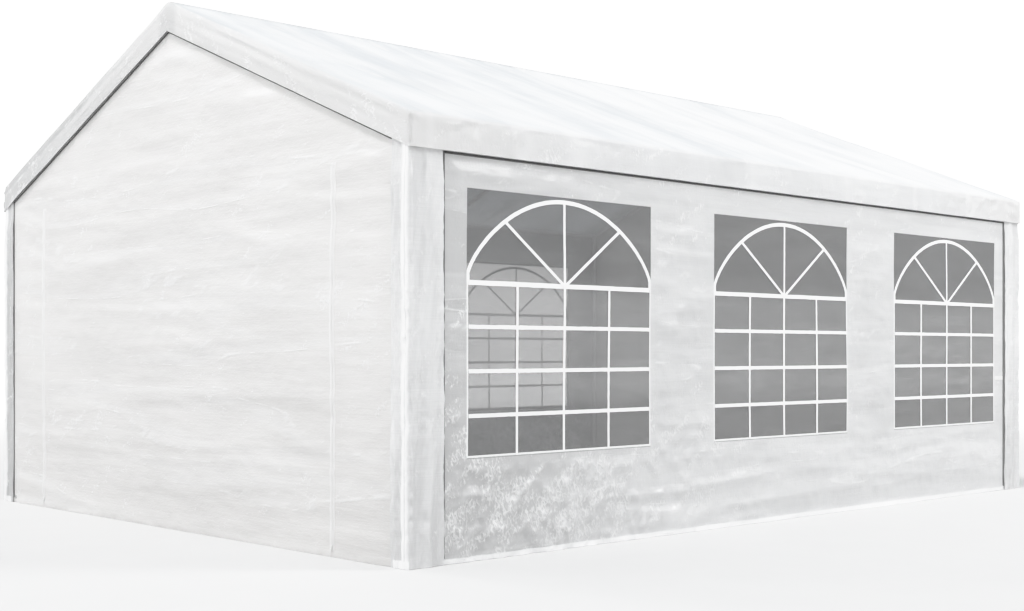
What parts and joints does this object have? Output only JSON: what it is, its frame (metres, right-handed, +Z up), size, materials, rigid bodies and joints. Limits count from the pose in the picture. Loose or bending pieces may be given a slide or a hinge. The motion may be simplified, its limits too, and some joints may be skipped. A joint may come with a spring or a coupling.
{
  "type": "marquee tent",
  "caption": "Gable party tent with zipped door ends and arched window walls, white sheeting over a frame of steel tubes.",
  "frame": {"origin": "on the ground, under the middle of the tent", "axes": "+X along the ridge towards the right-hand door end, -Y out of the front window wall, +Z up"},
  "size_m": [6, 4, 2.946],
  "materials": {
    "white_sheet": "woven white tarpaulin with a soft gloss",
    "clear_film": "clear window film, slightly grey",
    "white_steel": "light powder coat on round steel tube"
  },
  "bodies": {
    "root": {"roof_cover": "white_sheet", "side_wall_front": "white_sheet", "side_wall_back": "white_sheet", "end_wall_left": "white_sheet", "end_wall_right": "white_sheet", "door_flap_left": "white_sheet", "door_flap_right": "white_sheet", "corner_sleeve_front_left": "white_sheet", "corner_sleeve_front_right": "white_sheet", "corner_sleeve_back_left": "white_sheet", "corner_sleeve_back_right": "white_sheet", "window_front_1": "clear_film", "window_front_2": "clear_film", "window_front_3": "clear_film", "window_back_1": "clear_film", "window_back_2": "clear_film", "window_back_3": "clear_film", "post_front_1": "white_steel", "post_front_2": "white_steel", "post_front_3": "white_steel", "post_front_4": "white_steel", "post_back_1": "white_steel", "post_back_2": "white_steel", "post_back_3": "white_steel", "post_back_4": "white_steel", "rafter_front_1": "white_steel", "rafter_front_2": "white_steel", "rafter_front_3": "white_steel", "rafter_front_4": "white_steel", "rafter_back_1": "white_steel", "rafter_back_2": "white_steel", "rafter_back_3": "white_steel", "rafter_back_4": "white_steel", "eave_tube_front_1": "white_steel", "eave_tube_front_2": "white_steel", "eave_tube_front_3": "white_steel", "eave_tube_back_1": "white_steel", "eave_tube_back_2": "white_steel", "eave_tube_back_3": "white_steel", "ridge_tube_1": "white_steel", "ridge_tube_2": "white_steel", "ridge_tube_3": "white_steel", "eave_joint_front_1": "white_steel", "eave_joint_front_2": "white_steel", "eave_joint_front_3": "white_steel", "eave_joint_front_4": "white_steel", "eave_joint_back_1": "white_steel", "eave_joint_back_2": "white_steel", "eave_joint_back_3": "white_steel", "eave_joint_back_4": "white_steel", "ridge_joint_1": "white_steel", "ridge_joint_2": "white_steel", "ridge_joint_3": "white_steel", "ridge_joint_4": "white_steel"}
  },
  "joints": []
}
